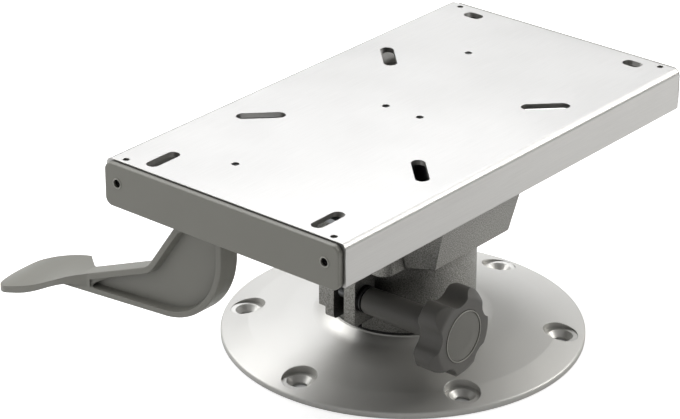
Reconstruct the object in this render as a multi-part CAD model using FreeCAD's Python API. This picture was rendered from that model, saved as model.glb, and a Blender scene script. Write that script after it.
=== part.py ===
import FreeCAD, Part
import math
import os

from FreeCAD import Vector

# Swivel seat slide for a camper seat, in millimetres.
# The origin is the centre of the base's underside, on the swivel axis. +Z is up,
# -Y is the front end of the seat plate, and the clamp knob stands out on the +X side.

# Fits and clearances
running_fit = 0.05
face_gap = 0.1
slide_gap = 0.3
seat_fit = 0.05
pin_fit = 0.02

# Base casting
base_radius = 112.5
rim_height = 3.8
crease_radius = 95.2
crease_height = 8.0
dome_radius = 72.0
dome_height = 11.9
dome_curve = 60.0
foot_radius = 53.0
foot_height = 14.0
foot_fillet = 12.0
hub_radius = 45.2
hub_edge = 0.8
hub_height = 19.4
spigot_radius = 33.0
spigot_bore = 24.0
spigot_web = 11.0
casting_wall = 5.0
foot_ring_radius = 34.0
rim_inner_radius = 84.0
base_rib = 4.0
rib_clear = 0.6

# Bolt holes of the base
base_hole_count = 6
base_hole_circle = 97.5
base_hole_angle = 30.0
base_hole_radius = 4.5
spot_face_radius = 10.8
spot_face_height = 4.6
countersink_radius = 7.8
countersink_depth = 3.3

# Swivel bearing
washer_thickness = 0.8
bush_wall = 3.9
bush_split = 3.0
shoulder_height = 68.0
disc_overhang = 4.4
disc_thickness = 4.0
retaining_bolt_radius = 5.0
retaining_head_flats = 17.0
retaining_head_height = 6.4

# Housing casting: sleeve and saddle
sleeve_radius = 44.7
sleeve_length = 49.7
saddle_height = 47.0
saddle_floor = 6.0
saddle_setback = 5.0
saddle_neck_step = 1.0
saddle_neck_reach = 44.0
wing_front_low = 34.0
wing_front_high = 20.0
wing_rear_low = 35.0
wing_rear_high = 60.0
wing_wall = 8.0
cast_edge = 1.2
block_reach = 57.0
block_wall = 5.0
deck_reach = 62.0
deck_thickness = 6.0
deck_corner = 6.0
cavity_reach = 34.0
cavity_corner = 10.0
boss_inset = 24.0
boss_y = 54.0
boss_radius = 8.0

# Clamp: ears, nut, screw and knob
clamp_y = -53.0
clamp_z = 46.5
ear_gap = 8.0
ear_front = 61.5
ear_rise = 14.5
ear_drop = 16.4
ear_corner = 3.0
knob_ear_thickness = 8.5
nut_ear_thickness = 6.5
nut_boss_depth = 5.0
nut_boss_half = 8.1
nut_boss_drop = 10.3
clamp_screw_radius = 4.0
clamp_nut_flats = 13.0
clamp_nut_height = 6.5
clamp_hole_slack = 0.4
steel_washer_thickness = 1.6
soft_washer_thickness = 1.2
clamp_washer_radius = 8.4
neck_radius = 8.1
neck_end_radius = 9.2
neck_end_round = 2.0
neck_length = 55.5
star_thickness = 16.5
star_radius = 28.3
star_valley = 20.5
lobe_radius = 8.5
lobe_count = 5
lobe_angle = 61.0
star_bevel = 5.0
star_rear_bevel = 1.8
knob_cap_radius = 15.5
knob_cap_thickness = 3.4
knob_cap_crown = 0.6
knob_cap_dome = 40.0
knob_cap_gap = 0.7
screw_in_knob = 46.0

# Slide frame, a folded steel hat section
sheet = 3.0
frame_rise = 9.2
frame_step = 15.0
frame_front = -99.0
frame_rear = 95.0
bend_outside = 4.0
bend_inside = 1.0
notch_right = -14.0
notch_depth = 33.0
notch_corner = 5.0
access_hole = 14.0
tab_half_width = 10.0
tab_height = 17.0
frame_bolt_radius = 4.0
frame_bolt_depth = 23.0
frame_bolt_slack = 0.4
bolt_head_radius = 7.0
bolt_head_height = 4.3
bolt_socket = 5.0

# Glides
glide_wall = 2.15
glide_length = 40.0
glide_width = 11.5
glide_peg_inset = 7.0
glide_peg_radius = 2.5

# Seat plate, one extrusion
plate_width = 180.0
plate_depth = 26.3
plate_length = 320.0
plate_front = -162.4
plate_top_wall = 3.2
plate_side_wall = 2.8
plate_corner = 4.0
side_box_width = 18.0
web_wall = 2.5
lip_width = 13.0
lip_thickness = 2.5
rib_width = 8.0
die_line_drop = 10.1
die_line_depth = 0.35
die_line_curve = 30.0
port_beyond_channel = 6.0
port_drop = 12.5
port_radius = 5.0
port_bore = 1.8

# Slots and small holes in the plate
slot_width = 8.4
corner_slot_x = 62.0
front_slot_inset = 17.9
front_slot_length = 24.6
rear_slot_inset = 10.8
rear_slot_length = 13.2
diagonal_slot_x = 60.5
diagonal_slot_y = (-61.5, 58.5)
diagonal_slot_length = 29.6
nub_hole_radius = 2.0
nub_hole_inset = 4.0
stud_hole_radius = 2.3
stud_sink = 1.2

# End caps
cap_inset = 2.0
cap_thickness = 4.1
cap_rise = 1.0
cap_drop = 1.8
cap_corner = 5.0
cap_edge = 1.0
cap_groove = 0.6
cap_groove_inset = 1.4
cap_hole_radius = 2.65
cap_shoulder = 1.2
lug_width = 8.0
lug_length = 13.0
lug_height = 3.8
cap_screw_length = 14.0
cap_screw_head = 1.8

# Lever, its shaft and what turns with it
shaft_x = -26.0
shaft_z = 133.5
shaft_radius = 4.5
shaft_beyond_lever = 3.0
shaft_beyond_bracket = 4.0
lever_setback = 16.4
lever_width = 14.5
lever_hub_radius = 10.0
lever_edge = 0.8
arm_half = 8.8
heel_height = 50.3
heel_curve = 50.0
arm_tip_x = -150.0
arm_tip_low = 39.0
arm_tip_high = 43.8
elbow_x = -76.5
elbow_height = 74.0
elbow_curve = 15.0
throat_x = -53.5
throat_height = 107.0
throat_curve = 5.0
shoulder_x = -42.0
shoulder_height_on_arm = 114.0
shoulder_curve = 4.0
lever_rim = 3.8
lever_pocket = 5.0
pocket_draft = 1.2
pocket_end = -124.5
paddle_front = 4.3
paddle_rear = 12.2
paddle_near_tip = -204.5
paddle_far_tip = -210.0
paddle_corner = 13.0
paddle_shoulder = -149.0
paddle_neck = -134.0
# Stations along the paddle: x, height at mid width, tilt across, thickness
paddle_line = ((-122.0, 55.2, 0.0, 7.0), (-138.0, 49.4, 0.03, 5.5), (-150.0, 45.6, 0.15, 3.9),
               (-165.0, 39.6, 0.26, 4.2), (-180.0, 33.4, 0.28, 4.6), (-195.0, 27.2, 0.20, 4.3),
               (-208.0, 21.0, 0.10, 3.7), (-222.0, 13.5, 0.02, 3.2))
pin_radius = 1.5
bracket_gap = 4.0
bracket_rear_y = 95.0
bracket_length = 10.0
bracket_foot_half = 12.0
bracket_wall = 2.7
clip_thickness = 1.0
clip_width = 2.6
clip_groove = 0.7
pawl_length = 18.0
pawl_hub_radius = 8.0
pawl_gap = 0.4
rack_width = 12.0
rack_height = 5.0
rack_front = -64.5
rack_length = 136.0
notch_pitch = 12.5
notch_width = 6.5
rack_notch_depth = 3.4
notch_draft = 0.6
collar_setback = 21.5
collar_length = 7.0
collar_radius = 8.0
spring_wire = 1.6
spring_turns = 4
spring_clear = 0.7
spring_tail = 1.6
spring_lean = 1.2

# Travel stop
stop_y = -2.5
stop_stud_x = 13.0
stop_half_width = 17.0
stop_length = 12.0
stop_drop = 20.0
stop_stud_depth = 7.0
travel = 60.0
stop_gap = 0.3

# Heights and widths worked out from the sizes above
sleeve_bottom = hub_height + washer_thickness + face_gap
saddle_bottom = sleeve_bottom + sleeve_length
deck_top = saddle_bottom + saddle_height
floor_top = deck_top + sheet
flange_under = deck_top + frame_rise
flange_top = flange_under + sheet
glide_bottom = flange_under - seat_fit - glide_wall
glide_top = flange_top + seat_fit + glide_wall
lip_top = glide_bottom - slide_gap
plate_bottom = lip_top - lip_thickness
rib_bottom = glide_top + slide_gap
plate_top = plate_bottom + plate_depth
plate_under = plate_top - plate_top_wall
plate_rear = plate_front + plate_length
front_slot_y = plate_front + front_slot_inset
rear_slot_y = plate_rear - rear_slot_inset
lever_front = plate_front + lever_setback
shaft_front = lever_front - shaft_beyond_lever
shaft_rear = bracket_rear_y + bracket_length / 2 + shaft_beyond_bracket
bracket_front_y = lever_front + lever_width + bracket_gap + bracket_length / 2
collar_y = bracket_front_y + collar_setback
port_z = plate_top - port_drop
plate_half = plate_width / 2
channel_half = plate_half - side_box_width
cap_half_width = plate_half - cap_inset
frame_half = channel_half - slide_gap - glide_wall - seat_fit
frame_floor_half = channel_half - frame_step
floor_edge = frame_floor_half - sheet - bend_inside
saddle_half_width = frame_floor_half - saddle_setback
boss_x = saddle_half_width - boss_inset
block_half_width = boss_x + boss_radius
saddle_neck_half = block_half_width + saddle_neck_step
notch_left = -floor_edge
rack_x = rack_width / 2 - floor_edge
lip_inner = channel_half - lip_width
rib_inner = channel_half - rib_width
port_x = channel_half + port_beyond_channel
glide_inner = channel_half - glide_width
glide_peg_x = channel_half - glide_peg_inset
housing_bore = spigot_radius + bush_wall + 2 * running_fit
spigot_top = shoulder_height + washer_thickness + 2 * face_gap
disc_radius = housing_bore + disc_overhang - 1.0
counterbore_radius = housing_bore + disc_overhang
knob_ear_face = ear_gap / 2 + knob_ear_thickness
nut_ear_face = -ear_gap / 2 - nut_ear_thickness
nut_boss_face = nut_ear_face - nut_boss_depth
washer_face = knob_ear_face + face_gap
soft_washer_face = washer_face + steel_washer_thickness + face_gap
neck_face = soft_washer_face + soft_washer_thickness + face_gap
star_rear = neck_face + neck_length
star_front = star_rear + star_thickness
bracket_radius = shaft_radius + running_fit + bracket_wall

X_AXIS = Vector(1, 0, 0)
Y_AXIS = Vector(0, 1, 0)
Z_AXIS = Vector(0, 0, 1)


def on_xy(z):
    return lambda u, v: Vector(u, v, z)


def on_xz(y):
    return lambda u, v: Vector(u, y, v)


def on_yz(x):
    return lambda u, v: Vector(x, u, v)


def rounded_wire(corners, place):
    """Closed wire through corners (u, v, radius), each corner turned by its own arc."""
    edges = []
    joints = []
    count = len(corners)
    for i in range(count):
        u, v, radius = corners[i]
        here = Vector(u, v, 0)
        before = Vector(corners[i - 1][0], corners[i - 1][1], 0) - here
        after = Vector(corners[(i + 1) % count][0], corners[(i + 1) % count][1], 0) - here
        before.normalize()
        after.normalize()
        if radius == 0:
            joints.append((here, None, here))
            continue
        half = before.getAngle(after) / 2
        reach = radius / math.tan(half)
        inward = before + after
        inward.normalize()
        middle = here + inward * (radius / math.sin(half) - radius)
        joints.append((here + before * reach, middle, here + after * reach))
    for i in range(count):
        start, middle, end = joints[i]
        if middle is not None:
            points = [place(p.x, p.y) for p in (start, middle, end)]
            edges.append(Part.Arc(*points).toShape())
        following = joints[(i + 1) % count][0]
        if (following - end).Length > 1e-6:
            edges.append(Part.makeLine(place(end.x, end.y), place(following.x, following.y)))
    return Part.Wire(edges)


def rounded_face(corners, place):
    return Part.Face(rounded_wire(corners, place))


def prism(corners, place, along):
    """Solid of a rounded outline pushed along a vector."""
    return rounded_face(corners, place).extrude(along)


def turned(corners):
    """Solid of revolution about the swivel axis, from corners (radius, height, corner radius)."""
    return rounded_face(corners, on_xz(0)).revolve(Vector(0, 0, 0), Z_AXIS, 360)


def turned_on_clamp(corners):
    """Solid of revolution about the clamp axis, from corners (x, radius, corner radius)."""
    profile = rounded_face(corners, lambda u, v: Vector(u, clamp_y, clamp_z + v))
    return profile.revolve(Vector(0, clamp_y, clamp_z), X_AXIS, 360)


def block(x0, x1, y0, y1, z0, z1):
    return Part.makeBox(x1 - x0, y1 - y0, z1 - z0, Vector(x0, y0, z0))


def rod(radius, start, end):
    along = end - start
    return Part.makeCylinder(radius, along.Length, start, along)


def ring(outer, inner, bottom, height):
    outside = Part.makeCylinder(outer, height, Vector(0, 0, bottom))
    inside = Part.makeCylinder(inner, height, Vector(0, 0, bottom))
    return outside.cut(inside)


def rectangle(x0, x1, y0, y1, radius):
    return [(x0, y0, radius), (x1, y0, radius), (x1, y1, radius), (x0, y1, radius)]


def hexagon(flats, place, along):
    """Hexagonal prism, with two flats level."""
    reach = flats / math.sqrt(3)
    corners = []
    for i in range(6):
        angle = math.radians(60 * i)
        corners.append((reach * math.cos(angle), reach * math.sin(angle), 0))
    return prism(corners, place, along)


def slot_tool(x, y, length, width, angle):
    """Round-ended slot through the top of the seat plate."""
    half = (length - width) / 2
    radius = width / 2
    depth = plate_top_wall + 2
    bottom = plate_under - 1
    middle = block(-half, half, -radius, radius, bottom, bottom + depth)
    ends = [Part.makeCylinder(radius, depth, Vector(side * half, 0, bottom)) for side in (-1, 1)]
    tool = middle.multiFuse(ends)
    tool.rotate(Vector(0, 0, 0), Z_AXIS, angle)
    tool.translate(Vector(x, y, 0))
    return tool


def around(shape, angle):
    copy = shape.copy()
    copy.rotate(Vector(0, 0, 0), Z_AXIS, angle)
    return copy


# The base: what stays still

def base_casting():
    """Turned flange, dome, hub and spigot, cored and ribbed from below, with six seated holes."""
    body = turned([
        (0, 0, 0),
        (base_radius, 0, 0.5),
        (base_radius, rim_height, 1.2),
        (crease_radius, crease_height, 1.5),
        (dome_radius, dome_height, dome_curve),
        (foot_radius, foot_height, foot_fillet),
        (hub_radius, hub_height - hub_edge, 0.8),
        (hub_radius, hub_height, 0.3),
        (spigot_radius, hub_height, 0.6),
        (spigot_radius, spigot_top, 1.0),
        (0, spigot_top, 0),
    ])
    pocket = turned([
        (foot_ring_radius, -1, 0),
        (foot_ring_radius, foot_height - casting_wall, 2.5),
        (hub_radius, foot_height - casting_wall, 10),
        (rim_inner_radius, crease_height - casting_wall, 1.5),
        (rim_inner_radius + 1, -1, 0),
    ])
    rib = block(foot_ring_radius - 2, rim_inner_radius + 2, -base_rib / 2, base_rib / 2,
                rib_clear, hub_height)
    ribs = [around(rib, 360 / base_hole_count * i) for i in range(base_hole_count)]
    hollow = turned([
        (0, -1, 0),
        (spigot_bore, -1, 0),
        (spigot_bore, spigot_top - spigot_web, 3),
        (0, spigot_top - spigot_web, 0),
    ])
    tapped = rod(retaining_bolt_radius, Vector(0, 0, 0), Vector(0, 0, spigot_top + 1))
    cuts = [pocket.cut(Part.makeCompound(ribs)), hollow, tapped]
    for i in range(base_hole_count):
        angle = base_hole_angle + 360 / base_hole_count * i
        centre = Vector(base_hole_circle, 0, 0)
        spot = Part.makeCylinder(spot_face_radius, hub_height, centre + Vector(0, 0, spot_face_height))
        sink_start = spot_face_height - countersink_depth
        sink = Part.makeCone(base_hole_radius, countersink_radius, countersink_depth,
                             centre + Vector(0, 0, sink_start))
        through = Part.makeCylinder(base_hole_radius, hub_height, centre - Vector(0, 0, 1))
        cuts += [around(tool, angle) for tool in (spot, sink, through)]
    return body.cut(cuts)


def thrust_washer():
    return ring(hub_radius - 1.4, spigot_radius + 1, hub_height, washer_thickness)


def upper_thrust_washer():
    return ring(disc_radius, spigot_radius + 0.4, shoulder_height + face_gap, washer_thickness)


def retaining_disc():
    disc = turned([
        (retaining_bolt_radius + seat_fit, spigot_top, 0),
        (disc_radius, spigot_top, 0),
        (disc_radius, spigot_top + disc_thickness, 0.8),
        (retaining_bolt_radius + seat_fit, spigot_top + disc_thickness, 0),
    ])
    return disc


def retaining_bolt():
    """Hexagon head bolt that holds the disc down on the spigot."""
    seat = spigot_top + disc_thickness
    shank = rod(retaining_bolt_radius - seat_fit, Vector(0, 0, spigot_top - spigot_web + 1),
                Vector(0, 0, seat))
    head = hexagon(retaining_head_flats, on_xy(seat), Z_AXIS * retaining_head_height)
    crown = turned([
        (0, seat - 1, 0),
        (retaining_head_flats / 2 + 3, seat - 1, 0),
        (retaining_head_flats / 2 + 3, seat + retaining_head_height - 2, 0),
        (retaining_head_flats / 2 - 0.5, seat + retaining_head_height, 0),
        (0, seat + retaining_head_height, 0),
    ])
    return shank.fuse(head.common(crown))


# The swivel housing and what turns with it

def saddle_outline(front, rear, neck, inset, z):
    """Eight-sided outline of the saddle at one height."""
    side = saddle_half_width - inset
    waist = saddle_neck_half - inset
    half = [(waist, -neck), (side, -front), (side, rear), (waist, neck)]
    points = half + [(-x, y) for x, y in reversed(half)]
    return Part.makePolygon([Vector(x, y, z) for x, y in points + points[:1]])


def saddle():
    """Tapered box under the slide: side wings, front and rear blocks, four bolt bosses, deck."""
    low = saddle_outline(wing_front_low, wing_rear_low, saddle_neck_reach, cast_edge, saddle_bottom)
    edge = saddle_outline(wing_front_low + cast_edge, wing_rear_low + cast_edge,
                          saddle_neck_reach, 0, saddle_bottom + cast_edge)
    high = saddle_outline(wing_front_high, wing_rear_high, block_reach, 0, deck_top)
    body = Part.makeLoft([low, edge], True, True).fuse(Part.makeLoft([edge, high], True, True))
    parts = []
    blocks = rectangle(-block_half_width, block_half_width, -block_reach, block_reach, 3)
    parts.append(prism(blocks, on_xy(saddle_bottom), Z_AXIS * saddle_height))
    for x, y in frame_bolt_places():
        parts.append(Part.makeCylinder(boss_radius, saddle_height, Vector(x, y, saddle_bottom)))
    deck = rectangle(-saddle_half_width, saddle_half_width, -deck_reach, deck_reach, deck_corner)
    parts.append(prism(deck, on_xy(deck_top - deck_thickness), Z_AXIS * deck_thickness))
    return body.multiFuse(parts)


def frame_bolt_places():
    return [(x, y) for x in (-boss_x, boss_x) for y in (-boss_y, boss_y)]


def saddle_cores():
    """Cavity over the spigot and a lightening core between each pair of bosses."""
    inside = saddle_half_width - wing_wall
    floor = saddle_bottom + saddle_floor
    depth = Z_AXIS * (saddle_height - saddle_floor + 1)
    cavity = rectangle(-inside, inside, -cavity_reach, cavity_reach, cavity_corner)
    cores = [prism(cavity, on_xy(floor), depth)]
    core_half = boss_x - boss_radius - 2
    near = cavity_reach + block_wall
    far = block_reach - block_wall
    for y0, y1 in ((-far, -near), (near, far)):
        core = rectangle(-core_half, core_half, y0, y1, 3)
        cores.append(prism(core, on_xy(floor), depth))
    return cores


def clamp_ears():
    """The split clamp's two ears, with a square nut boss on the far one."""
    low = clamp_z - ear_drop
    high = clamp_z + ear_rise
    root = -housing_bore + 4
    ear = [(-ear_front, low, ear_corner), (root, low, 0), (root, high, 0),
           (-ear_front, high, ear_corner)]
    knob_ear = prism(ear, on_yz(ear_gap / 2), X_AXIS * knob_ear_thickness)
    nut_ear = prism(ear, on_yz(nut_ear_face), X_AXIS * nut_ear_thickness)
    square = [(-ear_front, clamp_z - nut_boss_drop, 1.5),
              (clamp_y + nut_boss_half, clamp_z - nut_boss_drop, 1.5),
              (clamp_y + nut_boss_half, clamp_z + nut_boss_half, 1.5),
              (-ear_front, clamp_z + nut_boss_half, 1.5)]
    boss = prism(square, on_yz(nut_boss_face), X_AXIS * nut_boss_depth)
    return [knob_ear, nut_ear, boss]


def housing_casting():
    """Sleeve with split clamp ears below, saddle for the slide above."""
    sleeve = turned([
        (0, sleeve_bottom, 0),
        (sleeve_radius, sleeve_bottom, 0.8),
        (sleeve_radius, saddle_bottom + saddle_floor, 0),
        (0, saddle_bottom + saddle_floor, 0),
    ])
    body = saddle().multiFuse([sleeve] + clamp_ears())
    bore = turned([
        (0, sleeve_bottom - 1, 0),
        (housing_bore, sleeve_bottom - 1, 0),
        (housing_bore, shoulder_height, 0),
        (counterbore_radius, shoulder_height, 0),
        (counterbore_radius, saddle_bottom + saddle_floor + 1, 0),
        (0, saddle_bottom + saddle_floor + 1, 0),
    ])
    split_top = clamp_z + ear_rise + 3
    split = block(-ear_gap / 2, ear_gap / 2, -ear_front - 1, -spigot_radius + 2,
                  sleeve_bottom - 1, split_top)
    hole = rod(clamp_screw_radius + clamp_hole_slack, Vector(nut_boss_face - 1, clamp_y, clamp_z),
               Vector(knob_ear_face + 1, clamp_y, clamp_z))
    pocket = hexagon(clamp_nut_flats + 2 * face_gap,
                     lambda u, v: Vector(nut_boss_face - 1, clamp_y + u, clamp_z + v),
                     X_AXIS * (clamp_nut_height + 1 + 2 * face_gap))
    cuts = saddle_cores() + [bore, split, hole, pocket]
    for x, y in frame_bolt_places():
        cuts.append(rod(frame_bolt_radius, Vector(x, y, deck_top - frame_bolt_depth - 1),
                        Vector(x, y, deck_top + 1)))
    return body.cut(cuts).removeSplitter()


def swivel_bush():
    """Split plastic liner between the spigot and the sleeve's bore."""
    inner = spigot_radius + running_fit
    outer = housing_bore - running_fit
    height = shoulder_height - sleeve_bottom - 2 * face_gap
    liner = ring(outer, inner, sleeve_bottom + face_gap, height)
    gap = block(-bush_split / 2, bush_split / 2, -outer - 1, -inner + 1,
                sleeve_bottom - 1, shoulder_height + 1)
    return liner.cut(gap)


def clamp_nut():
    start = nut_boss_face + face_gap
    nut = hexagon(clamp_nut_flats, lambda u, v: Vector(start, clamp_y + u, clamp_z + v),
                  X_AXIS * clamp_nut_height)
    hole = rod(clamp_screw_radius, Vector(start - 1, clamp_y, clamp_z),
               Vector(start + clamp_nut_height + 1, clamp_y, clamp_z))
    return nut.cut(hole)


def slide_frame():
    """Folded hat section: floor on the saddle, flanges in the glides, lanced travel tabs."""
    inner = frame_floor_half - sheet
    right = [
        (frame_floor_half, deck_top, bend_outside),
        (frame_floor_half, flange_under, bend_inside),
        (frame_half, flange_under, 0),
        (frame_half, flange_top, 0),
        (inner, flange_top, bend_outside),
        (inner, floor_top, bend_inside),
    ]
    left = [(-x, z, radius) for x, z, radius in reversed(right)]
    length = frame_rear - frame_front
    body = prism(right + left, on_xz(frame_front), Y_AXIS * length)
    through = Z_AXIS * (sheet + 2)
    notch_rear = frame_front + notch_depth
    notch = [(notch_left, frame_front - 1, 0), (notch_right, frame_front - 1, 0),
             (notch_right, notch_rear, notch_corner), (notch_left, notch_rear, notch_corner)]
    cuts = [prism(notch, on_xy(deck_top - 1), through)]
    cuts.append(rod(access_hole, Vector(0, 0, deck_top - 1), Vector(0, 0, floor_top + 1)))
    for x, y in frame_bolt_places():
        cuts.append(rod(frame_bolt_radius + frame_bolt_slack, Vector(x, y, deck_top - 1),
                        Vector(x, y, floor_top + 1)))
    for x in (-glide_peg_x, glide_peg_x):
        for y in glide_centres():
            cuts.append(rod(glide_peg_radius + seat_fit, Vector(x, y, flange_under - 1),
                            Vector(x, y, flange_top + 1)))
    tabs = []
    for side in (-1, 1):
        face = stop_y + side * (travel + stop_length / 2 + stop_gap)
        back = face + side * sheet
        window_end = back + side * tab_height
        tabs.append(block(-tab_half_width, tab_half_width, min(face, back), max(face, back),
                          deck_top, deck_top + tab_height))
        window = rectangle(-tab_half_width - 1, tab_half_width + 1, min(back, window_end),
                           max(back, window_end), 2)
        cuts.append(prism(window, on_xy(deck_top - 1), through))
    return body.cut(cuts).multiFuse(tabs).removeSplitter()


def glide_centres():
    return (frame_front + glide_length / 2, frame_rear - glide_length / 2)


def glide(side, centre):
    """Moulded U-shaped pad pressed over one end of a frame flange."""
    outer = frame_half + seat_fit + glide_wall
    outline = [
        (side * glide_inner, glide_bottom, 0.6),
        (side * outer, glide_bottom, 1.2),
        (side * outer, glide_top, 1.2),
        (side * glide_inner, glide_top, 0.6),
        (side * glide_inner, flange_top + seat_fit, 0),
        (side * (frame_half + seat_fit), flange_top + seat_fit, 0),
        (side * (frame_half + seat_fit), flange_under - seat_fit, 0),
        (side * glide_inner, flange_under - seat_fit, 0),
    ]
    start = centre - glide_length / 2
    pad = prism(outline, on_xz(start), Y_AXIS * glide_length)
    peg = rod(glide_peg_radius, Vector(side * glide_peg_x, centre, glide_bottom),
              Vector(side * glide_peg_x, centre, glide_top))
    return pad.fuse(peg).removeSplitter()


def notch_places():
    """Middles of the rack's notches, shared out evenly along it."""
    count = int((rack_length - notch_width) // notch_pitch)
    first = rack_front + (rack_length - (count - 1) * notch_pitch) / 2
    return [first + i * notch_pitch for i in range(count)]


def pawl_front():
    """The pawl stands over two neighbouring notches near the rack's middle."""
    places = notch_places()
    middle = len(places) // 2
    return (places[middle] + places[middle + 1] - pawl_length) / 2


def notch_rack():
    """Toothed bar on the frame floor, with drafted notches at an even pitch."""
    left = rack_x - rack_width / 2
    bar = block(left, left + rack_width, rack_front, rack_front + rack_length,
                floor_top, floor_top + rack_height)
    top = floor_top + rack_height
    half = notch_width / 2
    cuts = []
    for y in notch_places():
        profile = [(y - half, top + 1, 0), (y - half, top, 0),
                   (y - half + notch_draft, top - rack_notch_depth, 0),
                   (y + half - notch_draft, top - rack_notch_depth, 0),
                   (y + half, top, 0), (y + half, top + 1, 0)]
        cuts.append(prism(profile, on_yz(left - 1), X_AXIS * (rack_width + 2)))
    return bar.cut(cuts)


def frame_bolts():
    """Four button head screws with hexagon sockets."""
    bolts = []
    for x, y in frame_bolt_places():
        shank = rod(frame_bolt_radius - seat_fit, Vector(x, y, deck_top - frame_bolt_depth),
                    Vector(x, y, floor_top))
        head = Part.makeCone(bolt_head_radius, bolt_head_radius - 2.6, bolt_head_height,
                             Vector(x, y, floor_top))
        socket = hexagon(bolt_socket, lambda u, v: Vector(x + u, y + v, floor_top + 1.5),
                         Z_AXIS * bolt_head_height)
        bolts.append(shank.fuse(head).cut(socket))
    return Part.makeCompound(bolts)


# The carriage: seat plate, caps and what hangs under the plate

def plate_profile():
    """Section of the seat plate extrusion, right half first."""
    groove = plate_top - die_line_drop
    inside = plate_half - plate_side_wall
    web = channel_half + web_wall
    right = [
        (plate_half, plate_top, plate_corner),
        (plate_half - die_line_depth, groove, die_line_curve),
        (plate_half, plate_bottom, 1.0),
        (inside, plate_bottom, 0.6),
        (inside, plate_under, 1.5),
        (web, plate_under, 1.0),
        (web, plate_bottom, 1.0),
        (lip_inner, plate_bottom, 0.8),
        (lip_inner, lip_top, 0.8),
        (channel_half, lip_top, 0.3),
        (channel_half, rib_bottom, 0.3),
        (rib_inner, rib_bottom, 0.8),
        (rib_inner, rib_bottom + lip_thickness, 0.8),
        (channel_half, rib_bottom + lip_thickness, 0.3),
        (channel_half, plate_under, 1.0),
    ]
    return right + [(-x, z, radius) for x, z, radius in reversed(right)]


def seat_plate():
    """Aluminium extrusion with slots for the seat, screw ports and small fixing holes."""
    body = prism(plate_profile(), on_xz(plate_front), Y_AXIS * plate_length)
    ports = [rod(port_radius, Vector(x, plate_front, port_z), Vector(x, plate_rear, port_z))
             for x in (-port_x, port_x)]
    cuts = [rod(port_bore, Vector(x, plate_front - 1, port_z), Vector(x, plate_rear + 1, port_z))
            for x in (-port_x, port_x)]
    for side in (-1, 1):
        cuts.append(slot_tool(side * corner_slot_x, front_slot_y, front_slot_length, slot_width, 90))
        cuts.append(slot_tool(side * corner_slot_x, rear_slot_y, rear_slot_length, slot_width, 0))
        for y, angle in zip(diagonal_slot_y, (-45 * side, 45 * side)):
            cuts.append(slot_tool(side * diagonal_slot_x, y, diagonal_slot_length, slot_width, angle))
        for y in (plate_front + nub_hole_inset, plate_rear - nub_hole_inset):
            cuts.append(rod(nub_hole_radius, Vector(side * port_x, y, plate_under - 1),
                            Vector(side * port_x, y, plate_top + 1)))
    for x, y in stud_places():
        cuts.append(rod(stud_hole_radius, Vector(x, y, plate_under - 1), Vector(x, y, plate_top + 1)))
    channel = channel_half - 0.5
    ports_clear = block(-channel, channel, plate_front - 1, plate_rear + 1, plate_bottom, plate_under)
    return body.multiFuse([port.cut(ports_clear) for port in ports]).cut(cuts)


def stud_places():
    return ((shaft_x, bracket_front_y), (shaft_x, bracket_rear_y),
            (-stop_stud_x, stop_y), (stop_stud_x, stop_y))


def end_cap(side):
    """Moulded cap; side is -1 at the front and 1 at the rear. Screw seats and snap lugs."""
    joint = plate_front if side < 0 else plate_rear
    low = plate_bottom - cap_drop
    high = plate_top - cap_rise
    outline = rectangle(-cap_half_width, cap_half_width, low, high, cap_corner)
    inset = cap_groove_inset
    inner = rectangle(-cap_half_width + inset, cap_half_width - inset, low + inset, high - inset,
                      cap_corner - inset)
    face = prism(outline, on_xz(joint + side * cap_groove), Y_AXIS * side * (cap_thickness - cap_groove))
    outer_y = joint + side * cap_thickness
    rim = [edge for edge in face.Edges
           if all(abs(vertex.Point.y - outer_y) < 1e-6 for vertex in edge.Vertexes)]
    face = face.makeFillet(cap_edge, rim)
    body = face.fuse(prism(inner, on_xz(joint), Y_AXIS * side * cap_groove))
    cuts = []
    lugs = []
    for x in (-port_x, port_x):
        seat = outer_y - side * (cap_thickness - cap_shoulder)
        cuts.append(rod(cap_hole_radius, Vector(x, outer_y + side, port_z), Vector(x, seat, port_z)))
        cuts.append(rod(port_bore + seat_fit, Vector(x, outer_y, port_z),
                        Vector(x, joint - side, port_z)))
        lug_near = x - math.copysign(lug_width / 2 - 1.5, x)
        lug_far = x + math.copysign(lug_width / 2, x)
        inner_y = joint - side * lug_length
        top = plate_under - face_gap
        lug = block(min(lug_near, lug_far), max(lug_near, lug_far), min(joint, inner_y),
                    max(joint, inner_y), top - lug_height, top)
        nub_y = joint - side * nub_hole_inset
        nub = rod(nub_hole_radius - face_gap, Vector(x, nub_y, top - lug_height),
                  Vector(x, nub_y, plate_top - stud_sink))
        lugs += [lug, nub]
    return body.multiFuse(lugs).cut(cuts).removeSplitter()


def cap_screws():
    """Four small pan-head screws that hold the end caps in the extrusion's ports."""
    screws = []
    for side, joint in ((-1, plate_front), (1, plate_rear)):
        seat = joint + side * cap_shoulder
        for x in (-port_x, port_x):
            shank = rod(port_bore - seat_fit, Vector(x, seat, port_z),
                        Vector(x, seat - side * cap_screw_length, port_z))
            head = rod(cap_hole_radius - face_gap, Vector(x, seat, port_z),
                       Vector(x, seat + side * cap_screw_head, port_z))
            slot = block(x - 2, x + 2, seat + side * 1.4 - 0.5, seat + side * 1.4 + 0.5,
                         port_z - 0.4, port_z + 0.4)
            screws.append(shank.fuse(head).cut(slot))
    return Part.makeCompound(screws)


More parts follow.
